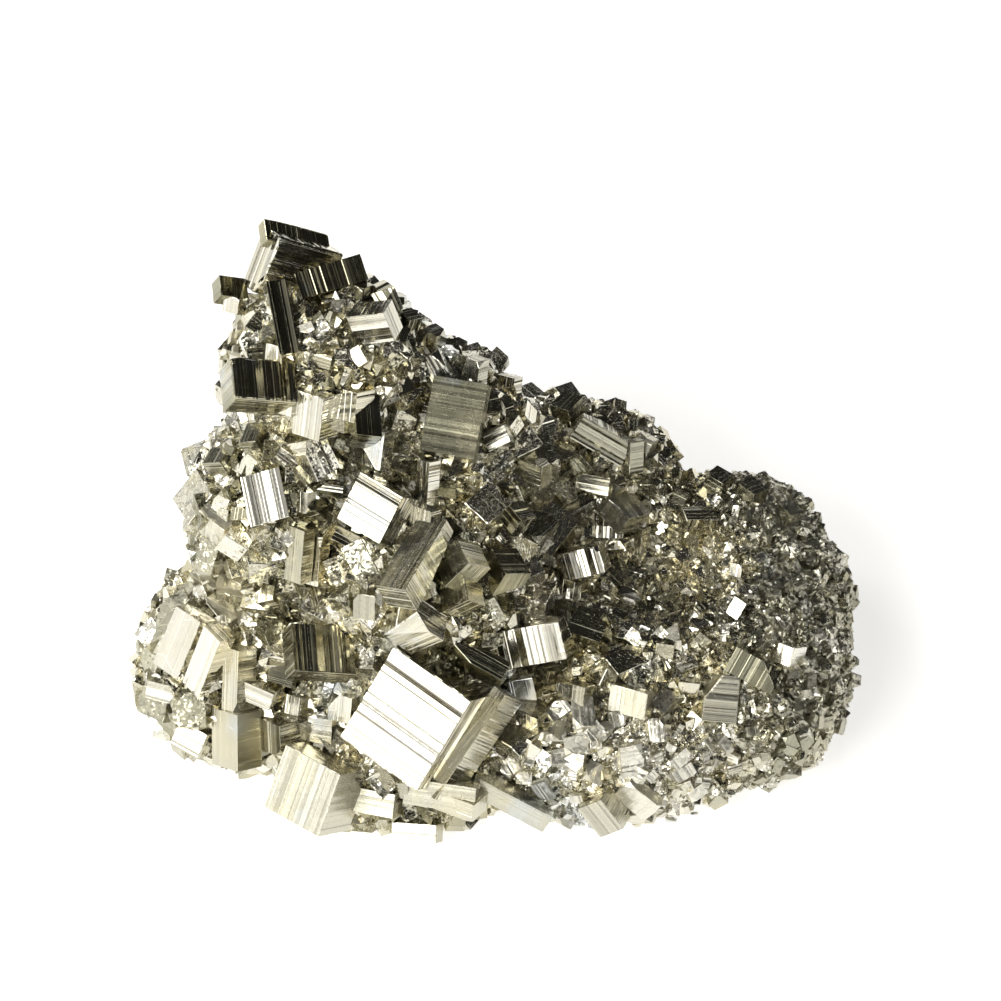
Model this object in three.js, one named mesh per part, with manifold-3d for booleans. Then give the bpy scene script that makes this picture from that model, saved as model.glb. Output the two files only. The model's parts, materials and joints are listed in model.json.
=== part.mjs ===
// Pyrite specimen: striated cubes and blocks grown together on a granular mass, cut flat below.
// Millimetres, +Z up. The origin is on the flat cut, under the middle of the specimen.

import * as THREE from 'three';
import * as BufferGeometryUtils from 'three/addons/utils/BufferGeometryUtils.js';
import Module from 'manifold-3d';

const wasm = await Module();
wasm.setup();

// Driving dimensions
const displayTilt = 50;            // degrees that the display side looks up from level
const highestTop = 44;             // no measured crystal reaches higher above the cut
const lowestCorner = 0.6;          // how near to the cut a measured crystal's nearest corner may come
const clearance = 0.5;             // how far its open faces stay out of the mass
const proudShare = 0.5;            // and the share of its own "out" that is added to that
const rootDepth = 1;               // how deep its back reaches into the mass at least
const openFace = 0.42;             // faces turned to the display side by more than this are kept clear
const faceSamples = [0.05, 0.45, 0.8];   // where on a face its clearance is measured

const lumpDetail = 2;              // how finely a lump's surface is divided
const stretch = 150;               // side of the block that is cut away below, larger than the specimen
const weld = 1e-5;                 // vertices closer than this are one

const grownSeed = 20261;
const grownCount = 100;
const grownSize = [2.6, 6.0];
const grownSides = [0.7, 1.3];     // a grown crystal's other sides, as shares of its size
const seated = 0.45;               // share of a grown crystal that sits inside the mass
const buriedMargin = 0.97;         // a spot this deep inside another lump is buried
const displayFacing = 0.25;        // spots turned to the display side by more than this stay free
const lowestSpot = 1.5;            // height above the cut from which crystals grow
const outlineReach = 0.8;          // a grown crystal that shows past the outline by this share of its size
const outlineShare = 0.4;          // is cut down to this much of it

// The granular mass: lumps as centre and radii
const lumps = [
  { at: [-16, 10, 30], radii: [10, 9, 11] },      // tower head
  { at: [-6, 8, 22], radii: [9.5, 10, 10.5] },    // tower shoulder
  { at: [-20, 2, 18], radii: [9.5, 10, 14] },     // tower flank
  { at: [-8, -3, 14], radii: [13, 11, 13] },      // tower front
  { at: [-23, -5, 6], radii: [11.5, 11, 10] },    // left foot
  { at: [-9, -12, 4], radii: [13, 10.5, 9] },     // front foot
  { at: [15, 0, 6], radii: [18.5, 16, 10] },      // lobe
  { at: [11, -12, 4], radii: [16, 10, 8] },       // lobe apron
  { at: [24, -4, 5], radii: [10.5, 14, 9] },      // lobe end
  { at: [6, 12, 12], radii: [12, 7.5, 9.5] },     // lobe back rim
  { at: [22, 8, 8], radii: [10, 7, 6.5] },        // lobe far rim
  { at: [26.2, 3, 6], radii: [8.5, 8, 7.5] },     // lobe shoulder
  { at: [-13, 11, 12], radii: [13, 9, 14] },      // tower back
  { at: [-5, -2, 5], radii: [12, 10, 8] },        // root between the feet and the lobe
];
const hollow = { at: [16, -1, 18], radii: [9, 8.5, 8] };   // the dip in the lobe

// Measured crystals. Each row gives the corner nearest to the display side, across and up in
// the display plane and out from the mass, then its three edges: their turn in the display
// plane in degrees, anticlockwise from +X, and their lengths.
const largeCrystals = [
  ['apex', -20.4, 40.4, 0.8, [249, 140, 345], [6.2, 4, 7.2]],
  ['apexCap', -21.6, 40.1, 12, [99, 350, 226], [2.5, 7, 1.4]],
  ['ribbedBar', -20.3, 29.1, 1.2, [101, 9, 235], [7.2, 2, 2.4]],
  ['longBar', -18.2, 34.4, 1.2, [108, 17, 236], [2.6, 6.6, 2.6]],
  ['barrel', -24.4, 25, 1.4, [96, 356, 226], [4.4, 6.6, 3.4]],
  ['brightPost', -16.1, 24.9, 1.2, [263, 161, 20], [4.3, 3.2, 3]],
  ['litBlock', -8.7, 15.7, 2, [149, 243, 350], [5.2, 5, 3.4]],
  ['khakiPlank', -8.5, 7, 1.4, [59, 172, 300], [8.8, 3.4, 3]],
  ['bigPlate', -2, 19.3, 1.6, [170, 79, 300], [5.3, 7.3, 3]],
  ['cornerPrism', -28, 3.8, 1.2, [247, 147, 12], [6.4, 3.2, 2.6]],
  ['cornerTwin', -26.1, 2, 0.8, [248, 135, 12], [7, 2.6, 2]],
  ['tallPale', -24.4, 1.1, 0.4, [268, 164, 10], [6.4, 2.2, 2.4]],
  ['frontPrism', -14.6, -10.5, 0.8, [250, 152, 8], [6.6, 6.6, 5.5]],
  ['frontLow', -5.6, -15.5, 0.4, [177, 268, 8], [4.5, 1.8, 2.2]],
  ['main', -2.3, -3.5, 3.2, [145, 239, 12], [9.2, 10.4, 10]],
  ['mainBar', 1, -3, 1.6, [236, 140, 335], [12.2, 1.8, 2.8]],
  ['longBeam', -1.8, -10.9, 0.6, [332, 236, 80], [8.4, 2, 2.4]],
  ['roughHood', -7.5, 4, 1.6, [80, 203, 325], [2.8, 4.4, 3.9]],
  ['greenCurtain', -18.9, -0.6, 0.8, [95, 356, 225], [4.8, 6.2, 2.6]],
  ['ribbedStep', 6, 3.9, 1.2, [283, 190, 40], [3.7, 6, 4]],
  ['stripeCube', 9.8, 11.1, 3, [286, 194, 42], [2.7, 4.1, 3]],
  ['longEdge', 5.5, 13, 0.8, [28, 120, 268], [4.6, 1.6, 2]],
  ['rimSlab', 8.5, 23.5, 0.4, [330, 236, 100], [5.8, 2.6, 2.2]],
  ['shell', 20, -1, 0.4, [265, 165, 355], [4.6, 3.4, 3.4]],
  ['frontCrystal', 10, -13, 0.8, [308, 203, 60], [3.8, 3, 2.4]],
];
const mediumCrystals = [
  ['apexSide', -26, 34.9, 9, [97, 353, 226], [2.2, 2.9, 1.8]],
  ['apexSideWhite', -24.3, 34.5, 9, [262, 163, 12], [1.6, 1.8, 1.4]],
  ['rightKnob', -11.4, 34.6, 0.4, [143, 293, 28], [3, 2.4, 2.2]],
  ['flatKnob', -12.5, 35.4, 0.2, [160, 265, 20], [3.4, 1.2, 2]],
  ['frosted', -10.5, 33, 0.6, [186, 292, 60], [4, 3.2, 2.4]],
  ['darkTooth', -8, 32.4, 0.2, [140, 250, 15], [1.8, 1.6, 1.8]],
  ['darkTip', -5.6, 31, -1, [145, 255, 20], [1.8, 1.6, 1.8]],
  ['wedge', -20, 29.8, 0.4, [265, 165, 15], [2.2, 2, 1.8]],
  ['ledgeWhite', -19, 25.5, 0.4, [265, 163, 15], [2.4, 4.2, 1.8]],
  ['postNeighbour', -14.2, 24, 0.4, [268, 165, 15], [2.4, 1.6, 1.6]],
  ['paleFin', -13, 25.5, 1, [265, 163, 12], [3, 2.2, 2.6]],
  ['darkPillar', -13, 21.6, 1.4, [95, 355, 226], [4.4, 2.6, 3]],
  ['glareBlock', -10.4, 21.8, 0.8, [262, 163, 18], [3.8, 3.8, 2]],
  ['whiteBlade', -6.2, 19, 1, [266, 163, 12], [4.8, 1.6, 1.6]],
  ['plateTip', -5.5, 29.6, 0.4, [300, 208, 60], [2.8, 2, 1.6]],
  ['edgeFin', -1.5, 28.5, 0.2, [264, 160, 20], [3.2, 1.6, 1.6]],
  ['cornerStripes', 1.9, 27, 0.6, [262, 165, 15], [1.6, 2, 1.6]],
  ['greyTile', 1.5, 21, 0.6, [205, 112, 330], [2.4, 2, 1.6]],
  ['roundKnob', -26, 19, 0.4, [62, 182, 302], [2, 2.2, 2]],
  ['darkOval', -22.6, 21, 0.4, [70, 185, 300], [2.6, 1.8, 1.8]],
  ['whiteSlope', -20.4, 18.6, 1, [282, 196, 60], [4.8, 3.8, 2.4]],
  ['khakiChip', -17.7, 16.1, 0.6, [268, 165, 12], [2.1, 1.7, 1.6]],
  ['coalChip', -17, 14.5, 0.4, [78, 198, 318], [1.8, 1.8, 1.8]],
  ['zebraChip', -14.5, 15.5, 0.8, [172, 80, 300], [2.6, 1.6, 1.6]],
  ['slitBlock', -13, 10.5, 1, [153, 60, 255], [2.9, 1.6, 1.6]],
  ['brownPost', -18, 12.5, 0.6, [265, 160, 15], [5.4, 2.2, 1.6]],
  ['palePost', -16.5, 12, 0.6, [266, 165, 15], [5, 1.5, 1.6]],
  ['lens', -21, 6, 0.4, [88, 192, 318], [2.6, 1.8, 1.6]],
  ['midCube', -5.5, 11.5, 5, [172, 268, 30], [2.4, 1.8, 2.4]],
  ['midWhite', -6, 14.3, 0.8, [262, 160, 15], [2.4, 2.4, 1.6]],
  ['footChip', -30.5, -2.5, 0.4, [165, 258, 50], [2.8, 1.8, 1.6]],
  ['footWhite', -27.5, -7, 0.6, [152, 247, 12], [3.2, 2.6, 2.2]],
  ['brassBrick', -21, -3, 1.2, [157, 252, 43], [3.9, 1.9, 2.4]],
  ['coalHex', -19.4, -2.4, 2.4, [165, 72, 300], [2.6, 3, 1.6]],
  ['whiteFan', -18.4, -3.4, 1, [262, 165, 12], [2.8, 2, 1.6]],
  ['fanStep', -18, -6, 0.8, [160, 270, 30], [4, 1.7, 2]],
  ['brownStep', -15.5, -5.5, 0.4, [172, 268, 20], [2.6, 2.4, 1.6]],
  ['whiteStep', -13.6, -3.4, 1.2, [265, 165, 12], [2.6, 2.8, 1.6]],
  ['greenBlock', -20.5, -6, 0.4, [272, 160, 15], [3.2, 4.2, 3.4]],
  ['beigePlate', -24.5, -5, 0.6, [270, 165, 12], [5.6, 3.8, 3]],
  ['frontBrass', -9.5, -12.5, 0.2, [170, 264, 20], [4.4, 2.4, 2.4]],
  ['barFoot', -2, -13.5, 0.6, [160, 262, 40], [4.2, 2, 3]],
  ['mainFoot', -1.8, -11.9, 0.6, [172, 265, 50], [7, 2.6, 3]],
  ['darkSlab', 0.6, -1.6, 1.2, [151, 60, 250], [5.6, 2, 3.4]],
  ['creamBlock', 3.5, -1.5, 0.8, [283, 190, 60], [2.6, 2.5, 1.6]],
  ['brassChip', 5, -1, 0.4, [12, 130, 255], [2, 1.6, 1.6]],
  ['khakiRoof', 12.8, 13.6, 3, [130, 15, 235], [3.4, 3.4, 2.3]],
  ['roofWhite', 12.4, 14, 5.4, [262, 163, 12], [1.7, 3.4, 1.4]],
  ['khakiBox', 7.7, 12.6, 1.8, [262, 163, 12], [2, 2, 1.6]],
  ['roofWall', 14.2, 12.6, 2.4, [266, 163, 20], [3.8, 1.4, 1.4]],
  ['roofStripes', 12.4, 12.9, 2.2, [268, 178, 50], [1.2, 3.2, 1.6]],
  ['valleyDark', 2.5, 13.5, 0.2, [130, 235, 10], [2.4, 2.6, 2.4]],
  ['valleyLow', 1, 8.5, 0.2, [120, 240, 0], [3.4, 3, 3]],
  ['valleyLeft', -2.5, 9.5, 0.2, [115, 225, 345], [3.2, 3.6, 3]],
  ['valleyWall', -2.5, 6, 0.4, [100, 205, 340], [3, 3.2, 2.6]],
  ['rimPeak', 7, 24, 0.4, [45, 160, 280], [2.4, 2.2, 2.4]],
  ['rimTip', 15, 21, 0.2, [150, 250, 20], [2, 1.6, 1.6]],
  ['rimRusset', 13, 21, 0.4, [268, 162, 10], [3.2, 2, 1.8]],
  ['rimShelf', 11, 17.5, 0.4, [170, 265, 40], [3.4, 1.8, 2]],
  ['rimLeft', 4.5, 18.5, 0.2, [160, 262, 30], [2.8, 2.4, 2.2]],
  ['shelfStripes', 18.5, 13.5, 0.6, [1, 110, 250], [3.2, 1.8, 1.6]],
  ['shelfLow', 19.5, 12, 0.4, [268, 163, 12], [2.2, 1.6, 1.6]],
  ['crestNear', 22, 17, 0.2, [150, 262, 35], [2.2, 2, 2]],
  ['crestMiddle', 25, 16, 0.2, [140, 255, 20], [2.2, 2, 2]],
  ['crestFar', 28.5, 14, 0, [130, 245, 10], [2, 1.8, 1.8]],
  ['darkFace', 23, 1.5, 0.6, [241, 332, 95], [2.6, 5, 3]],
  ['pearl', 28.5, 1.3, 0.6, [256, 160, 5], [1.9, 1.8, 2.6]],
  ['sparkBar', 24, 5.5, 0.5, [240, 145, 10], [1.9, 1.4, 1.2]],
  ['sparkChip', 20.4, 8.4, 0.3, [265, 165, 12], [1.5, 1.2, 1.2]],
  ['sparkHigh', 23.7, 9.2, 0.3, [262, 165, 15], [1.3, 1.3, 1.2]],
  ['sparkLow', 8.3, 7.4, 0.5, [262, 165, 15], [1.7, 2.2, 1.4]],
  ['brassSlab', 8.5, -2.4, 0.6, [264, 163, 15], [1.8, 3.4, 1.6]],
  ['beigeSlab', 14.5, -3, 0.4, [262, 165, 18], [2.6, 4, 1.4]],
];

const radians = THREE.MathUtils.degToRad;
const across = new THREE.Vector3(1, 0, 0);
const upward = new THREE.Vector3(0, Math.sin(radians(displayTilt)), Math.cos(radians(displayTilt)));
const outward = new THREE.Vector3().crossVectors(across, upward);

function makeMaterial() {
  return new THREE.MeshStandardMaterial({ color: 0xb5ab82, roughness: 0.25, metalness: 1 });
}

// Joins and cuts

function toSolid(geometry) {
  geometry.deleteAttribute('normal');
  geometry.deleteAttribute('uv');
  const merged = BufferGeometryUtils.mergeVertices(geometry, weld);
  return new wasm.Manifold(new wasm.Mesh({
    numProp: 3,
    vertProperties: new Float32Array(merged.attributes.position.array),
    triVerts: new Uint32Array(merged.index.array),
  }));
}

function toGeometry(solid) {
  const mesh = solid.getMesh();
  const geometry = new THREE.BufferGeometry();
  geometry.setAttribute('position', new THREE.BufferAttribute(mesh.vertProperties, mesh.numProp));
  geometry.setIndex(new THREE.BufferAttribute(mesh.triVerts, 1));
  geometry.computeVertexNormals();
  return geometry;
}

// Where a line square to the display plane enters and leaves an ellipsoid, as distances out
function crossings(lump, point) {
  const radii = new THREE.Vector3(...lump.radii);
  const start = point.clone().sub(new THREE.Vector3(...lump.at)).divide(radii);
  const step = outward.clone().divide(radii);
  const half = start.dot(step) / step.lengthSq();
  const inside = half * half - (start.lengthSq() - 1) / step.lengthSq();
  return inside < 0 ? null : { near: -half + Math.sqrt(inside), far: -half - Math.sqrt(inside) };
}

function onPlane(right, up) {
  return across.clone().multiplyScalar(right).addScaledVector(upward, up);
}

// How far out the mass's surface is behind a place, or null past its outline
function massDepth(point) {
  const hits = lumps.map((lump) => crossings(lump, point)).filter(Boolean);
  if (!hits.length) {
    return null;
  }
  const out = Math.max(...hits.map((hit) => hit.near));
  const dip = crossings(hollow, point);
  return dip && out > dip.far && out < dip.near ? dip.far : out;
}

// Past the mass's outline a crystal takes the depth of the lump that it is closest to
function depthPastOutline(point) {
  const centres = lumps.map((lump) => new THREE.Vector3(...lump.at));
  const gap = (centre) => {
    const offset = centre.clone().sub(point);
    return offset.addScaledVector(outward, -offset.dot(outward)).length();
  };
  centres.sort((first, second) => gap(first) - gap(second));
  return centres[0].dot(outward);
}

// Three square edges seen at the given turns: each is foreshortened so that all stay square
function edgeDirections(turns) {
  const pulls = turns.map((turn, index) => {
    const next = turns[(index + 1) % 3];
    const last = turns[(index + 2) % 3];
    return Math.sin(2 * radians(last - next));
  });
  const total = pulls[0] + pulls[1] + pulls[2];
  return turns.map((turn, index) => {
    const seen = THREE.MathUtils.clamp(2 * pulls[index] / total, 0, 1);
    return across.clone().multiplyScalar(Math.sqrt(seen) * Math.cos(radians(turn)))
      .addScaledVector(upward, Math.sqrt(seen) * Math.sin(radians(turn)))
      .addScaledVector(outward, -Math.sqrt(1 - seen));
  });
}

function boxSolid(middle, edges, lengths) {
  const turn = new THREE.Matrix4().makeBasis(...edges);
  const handed = turn.determinant() < 0 ? [edges[1], edges[0], edges[2]] : edges;
  const sizes = turn.determinant() < 0 ? [lengths[1], lengths[0], lengths[2]] : lengths;
  const block = new THREE.BoxGeometry(...sizes);
  block.applyMatrix4(new THREE.Matrix4().makeBasis(...handed).setPosition(middle));
  return toSolid(block);
}

// How far out a crystal stands when points of one face touch the mass. The face is square to the
// given edge, at its near end (share 0) or its far end (share 1).
function liftsOver(corner, edges, lengths, square, share) {
  const lifts = [];
  const first = (square + 1) % 3;
  const second = (square + 2) % 3;
  for (const one of faceSamples) {
    for (const other of faceSamples) {
      const offset = edges[first].clone().multiplyScalar(one * lengths[first])
        .addScaledVector(edges[second], other * lengths[second])
        .addScaledVector(edges[square], share * lengths[square]);
      const out = offset.dot(outward);
      const depth = massDepth(corner.clone().add(offset).addScaledVector(outward, -out));
      if (depth !== null) {
        lifts.push(depth - out);
      }
    }
  }
  return lifts;
}

// How far out a crystal has to stand for its open faces to clear the mass
function liftClear(corner, edges, lengths) {
  const open = [0, 1, 2].filter((square) => Math.abs(edges[square].dot(outward)) >= openFace);
  const lifts = open.flatMap((square) => liftsOver(corner, edges, lengths, square, 0));
  return lifts.length ? Math.max(...lifts) + clearance : depthPastOutline(corner);
}

// How far out it may stand with its back still in the mass
function liftRooted(corner, edges, lengths) {
  const lifts = [0, 1, 2].flatMap((square) => liftsOver(corner, edges, lengths, square, 1));
  return lifts.length ? Math.max(...lifts) - rootDepth : Infinity;
}

function measuredCrystal([, right, up, out, turns, lengths]) {
  const edges = edgeDirections(turns);
  const middle = onPlane(right, up);
  const clear = liftClear(middle, edges, lengths) + out * proudShare;
  const lift = Math.min(clear, liftRooted(middle, edges, lengths));
  middle.addScaledVector(outward, Math.max(lift, (lowestCorner - middle.z) / outward.z));
  edges.forEach((edge, index) => middle.addScaledVector(edge, lengths[index] / 2));
  const halfHeight = edges.reduce((sum, edge, index) => sum + Math.abs(edge.z) * lengths[index] / 2, 0);
  middle.addScaledVector(outward, -Math.max(middle.z + halfHeight - highestTop, 0) / outward.z);
  return boxSolid(middle, edges, lengths);
}

// Crystals grown at random over the sides and the back

function randomStream(seed) {
  let state = seed;
  return () => {
    state = (state * 16807) % 2147483647;
    return state / 2147483647;
  };
}

function isInside(lump, point, margin) {
  const offset = point.clone().sub(new THREE.Vector3(...lump.at));
  return offset.divide(new THREE.Vector3(...lump.radii)).length() < margin;
}

function showsPastOutline(point, reach) {
  const turns = [0, 60, 120, 180, 240, 300].map(radians);
  return turns.some((turn) => {
    const edge = point.clone().addScaledVector(across, reach * Math.cos(turn))
      .addScaledVector(upward, reach * Math.sin(turn));
    return !lumps.some((lump) => crossings(lump, edge));
  });
}

function grownCrystals() {
  const random = randomStream(grownSeed);
  const solids = [];
  while (solids.length < grownCount) {
    const lump = lumps[Math.floor(random() * lumps.length)];
    const height = 2 * random() - 1;
    const around = 2 * Math.PI * random();
    const fullSize = THREE.MathUtils.lerp(...grownSize, random() ** 2);
    const sides = [random(), random()].map((share) => THREE.MathUtils.lerp(...grownSides, share));
    const turn = new THREE.Euler(random() * Math.PI, random() * Math.PI, random() * Math.PI);
    const normal = new THREE.Vector3(Math.cos(around), Math.sin(around), 0)
      .multiplyScalar(Math.sqrt(1 - height * height)).setZ(height);
    const point = normal.clone().multiply(new THREE.Vector3(...lump.radii))
      .add(new THREE.Vector3(...lump.at));
    const buried = lumps.some((other) => other !== lump && isInside(other, point, buriedMargin));
    const facesDisplay = normal.dot(outward) > displayFacing;
    if (buried || facesDisplay || point.z < lowestSpot) {
      continue;
    }
    const size = fullSize * (showsPastOutline(point, outlineReach * fullSize) ? outlineShare : 1);
    const basis = new THREE.Matrix4().makeRotationFromEuler(turn);
    const edges = [new THREE.Vector3(), new THREE.Vector3(), new THREE.Vector3()];
    basis.extractBasis(...edges);
    point.addScaledVector(normal, (0.5 - seated) * size);
    solids.push(boxSolid(point, edges, [...sides, 1].map((share) => share * size)));
  }
  return solids;
}

function lumpSolid({ at, radii }) {
  const ball = new THREE.IcosahedronGeometry(1, lumpDetail);
  ball.scale(...radii);
  ball.translate(...at);
  return toSolid(ball);
}

function belowTheCut() {
  const block = new THREE.BoxGeometry(stretch, stretch, stretch);
  block.translate(0, 0, -stretch / 2);
  return toSolid(block);
}

// Closed pockets left between crystals are filled: only the outermost skin is kept
function withoutPockets(solid) {
  const skins = solid.decompose();
  return skins.reduce((outer, skin) => (skin.volume() > outer.volume() ? skin : outer));
}

function makeCluster() {
  const mass = lumps.map(lumpSolid).reduce((whole, lump) => whole.add(lump))
    .subtract(lumpSolid(hollow));
  const measured = [...largeCrystals, ...mediumCrystals].map(measuredCrystal);
  const crystals = [...measured, ...grownCrystals()];
  const grown = crystals.reduce((whole, crystal) => whole.add(crystal), mass);
  const cut = withoutPockets(grown.subtract(belowTheCut()));
  const cluster = new THREE.Mesh(toGeometry(cut), makeMaterial());
  cluster.name = 'pyrite_cluster';
  return cluster;
}

const specimen = new THREE.Group();
specimen.name = 'pyrite_specimen';
specimen.add(makeCluster());

export default specimen;
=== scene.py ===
import bisect
import json
import math

import bmesh
import bpy
from mathutils import Euler, Matrix, Vector, noise

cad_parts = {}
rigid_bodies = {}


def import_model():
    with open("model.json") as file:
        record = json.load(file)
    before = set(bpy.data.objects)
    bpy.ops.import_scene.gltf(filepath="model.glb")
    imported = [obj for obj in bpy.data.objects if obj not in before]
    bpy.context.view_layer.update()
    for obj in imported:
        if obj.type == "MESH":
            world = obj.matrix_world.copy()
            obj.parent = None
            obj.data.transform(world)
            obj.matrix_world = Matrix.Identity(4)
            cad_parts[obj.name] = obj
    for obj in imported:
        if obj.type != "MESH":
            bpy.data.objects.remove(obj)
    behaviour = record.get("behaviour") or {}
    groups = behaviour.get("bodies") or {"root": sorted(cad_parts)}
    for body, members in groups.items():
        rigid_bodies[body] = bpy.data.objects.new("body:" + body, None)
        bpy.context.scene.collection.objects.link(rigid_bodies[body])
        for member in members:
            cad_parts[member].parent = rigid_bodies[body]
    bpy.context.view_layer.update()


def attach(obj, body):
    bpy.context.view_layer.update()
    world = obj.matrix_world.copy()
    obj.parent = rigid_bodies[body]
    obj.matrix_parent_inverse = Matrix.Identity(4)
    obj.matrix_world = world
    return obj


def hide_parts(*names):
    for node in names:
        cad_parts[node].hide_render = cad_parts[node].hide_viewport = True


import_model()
print("stage: frame loaded")

millimetre = 0.001
displayTilt = math.radians(50)  # the display side looks up this far from level
across = Vector((1, 0, 0))
upward = Vector((0, math.sin(displayTilt), math.cos(displayTilt)))
outward = across.cross(upward)
lowestCorner = 0.6  # mm, how near to the cut a crystal's nearest corner may come
highestTop = 44  # mm above the cut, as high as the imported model
clearance = 0.5  # mm, how far a measured crystal's open faces stay out of the mass and its druse
proudShare = 0.5  # share of a crystal's own "out" that its faces stand clear of the mass
rootDepth = 1  # mm, how deep its back reaches into the mass at least
openFace = 0.42  # faces turned to the display side by more than this are kept clear of the mass
grainShuffle = 9.7  # spreads the grain centres, so that each grain has a height of its own
cornerDepth = (0.1, 0.42)  # how deep a corner is cut, as shares of the shortest edge
cornerLean = (0.25, 1)  # how unevenly it is cut
faceSamples = (0.05, 0.45, 0.8)  # where on a face its clearance is measured
clusterNode = "pyrite_cluster"
finishLabels = ("tone", "dull", "lined")  # what each crystal's finish is kept as: its tone with painted light and shade, its dullness and its lining

# lumps of the granular mass in mm: centre, radii
lumps = [
    ([-16, 10, 30], [10, 9, 11]),  # tower head
    ([-6, 8, 22], [9.5, 10, 10.5]),  # tower shoulder
    ([-20, 2, 18], [9.5, 10, 14]),  # tower flank
    ([-8, -3, 14], [13, 11, 13]),  # tower front
    ([-23, -5, 6], [11.5, 11, 10]),  # left foot
    ([-9, -12, 4], [13, 10.5, 9]),  # front foot
    ([15, 0, 6], [18.5, 16, 10]),  # lobe
    ([11, -12, 4], [16, 10, 8]),  # lobe apron
    ([24, -4, 5], [10.5, 14, 9]),  # lobe end
    ([6, 12, 12], [12, 7.5, 9.5]),  # lobe back rim
    ([22, 8, 8], [10, 7, 6.5]),  # lobe far rim
    ([26.2, 3, 6], [8.5, 8, 7.5]),  # lobe shoulder
    ([-13, 11, 12], [13, 9, 14]),  # tower back
    ([-5, -2, 5], [12, 10, 8]),  # root between the feet and the lobe
]
hollow = ([16, -1, 18], [9, 8.5, 8])  # the dip in the lobe

# Large crystals in mm: the corner nearest to the display side (across, up, out from the mass), the turns
# of its three edges in the display plane in degrees, their lengths, then line spacing, step height, tone
# (painted light and shade: how bright the crystal is as lit, painted into its colour), dullness, how
# strongly it is lined and how many corners are missing
largeCrystals = [
    ["apex", -20.4, 40.4, 0.8, [249, 140, 345], [6.2, 4, 7.2], 0.5, 0.05, 0.2, 0.05, 0.5, 4],
    ["apexCap", -21.6, 40.1, 12, [99, 350, 226], [2.5, 7, 1.4], 0.5, 0.04, -1, 0.05, 0.15, 2],
    ["ribbedBar", -20.3, 29.1, 1.2, [101, 9, 235], [7.2, 2, 2.4], 0.4, 0.08, -0.8, 0.1, 0.9, 0],
    ["longBar", -18.2, 34.4, 1.2, [108, 17, 236], [2.6, 6.6, 2.6], 0.45, 0.06, -1, 0.1, 0.25, 1],
    ["barrel", -24.4, 25, 1.4, [96, 356, 226], [4.4, 6.6, 3.4], 0.5, 0.05, -0.8, 0.05, 0.5, 2],
    ["brightPost", -16.1, 24.9, 1.2, [263, 161, 20], [4.3, 3.2, 3], 0.5, 0.05, 0.6, 0.05, 0.45, 0],
    ["litBlock", -8.7, 15.7, 2, [149, 243, 350], [5.2, 5, 3.4], 0.55, 0.07, 0.5, 0.1, 0.4, 1],
    ["khakiPlank", -8.5, 7, 1.4, [59, 172, 300], [8.8, 3.4, 3], 0.4, 0.05, 0, 0.3, 0.3, 1],
    ["bigPlate", -2, 19.3, 1.6, [170, 79, 300], [5.3, 7.3, 3], 0.26, 0.015, -1, 0.5, 0.15, 2],
    ["cornerPrism", -28, 3.8, 1.2, [247, 147, 12], [6.4, 3.2, 2.6], 0.6, 0.07, 0.9, 0.05, 0.3, 1],
    ["cornerTwin", -26.1, 2, 0.8, [248, 135, 12], [7, 2.6, 2], 0.6, 0.07, 0.9, 0.05, 0.3, 0],
    ["tallPale", -24.4, 1.1, 0.4, [268, 164, 10], [6.4, 2.2, 2.4], 0.5, 0.05, 0.1, 0.3, 0.2, 1],
    ["frontPrism", -14.6, -10.5, 0.8, [250, 152, 8], [6.6, 6.6, 5.5], 0.6, 0.05, -0.1, 0.45, 0.2, 1],
    ["frontLow", -5.6, -15.5, 0.4, [177, 268, 8], [4.5, 1.8, 2.2], 0.4, 0.04, -0.2, 0.6, 0.2, 1],
    ["main", -2.3, -3.5, 3.2, [145, 239, 12], [9.2, 10.4, 10], 0.62, 0.14, 0.7, 0.05, 0.4, 0],
    ["mainBar", 1, -3, 1.6, [236, 140, 335], [12.2, 1.8, 2.8], 0.6, 0.08, 0.1, 0.3, 0.25, 0],
    ["longBeam", -1.8, -10.9, 0.6, [332, 236, 80], [8.4, 2, 2.4], 0.6, 0.06, -0.1, 0.5, 0.2, 1],
    ["roughHood", -7.5, 4, 1.6, [80, 203, 325], [2.8, 4.4, 3.9], 0.5, 0.06, 0.5, 0.2, 0.5, 2],
    ["greenCurtain", -18.9, -0.6, 0.8, [95, 356, 225], [4.8, 6.2, 2.6], 0.35, 0.05, -0.8, 0.2, 0.8, 0],
    ["ribbedStep", 6, 3.9, 1.2, [283, 190, 40], [3.7, 6, 4], 0.45, 0.06, 0.5, 0.1, 0.4, 1],
    ["stripeCube", 9.8, 11.1, 3, [286, 194, 42], [2.7, 4.1, 3], 0.4, 0.06, 0.6, 0.1, 0.5, 1],
    ["longEdge", 5.5, 13, 0.8, [28, 120, 268], [4.6, 1.6, 2], 0.4, 0.05, -0.2, 0.2, 0.9, 1],
    ["rimSlab", 8.5, 23.5, 0.4, [330, 236, 100], [5.8, 2.6, 2.2], 0.4, 0.05, -0.4, 0.3, 0.6, 1],
    ["shell", 20, -1, 0.4, [265, 165, 355], [4.6, 3.4, 3.4], 0.3, 0.1, 0, 0.6, 0.8, 3],
    ["frontCrystal", 10, -13, 0.8, [308, 203, 60], [3.8, 3, 2.4], 0.5, 0.05, 0, 0.2, 0.6, 1],
]

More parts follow.
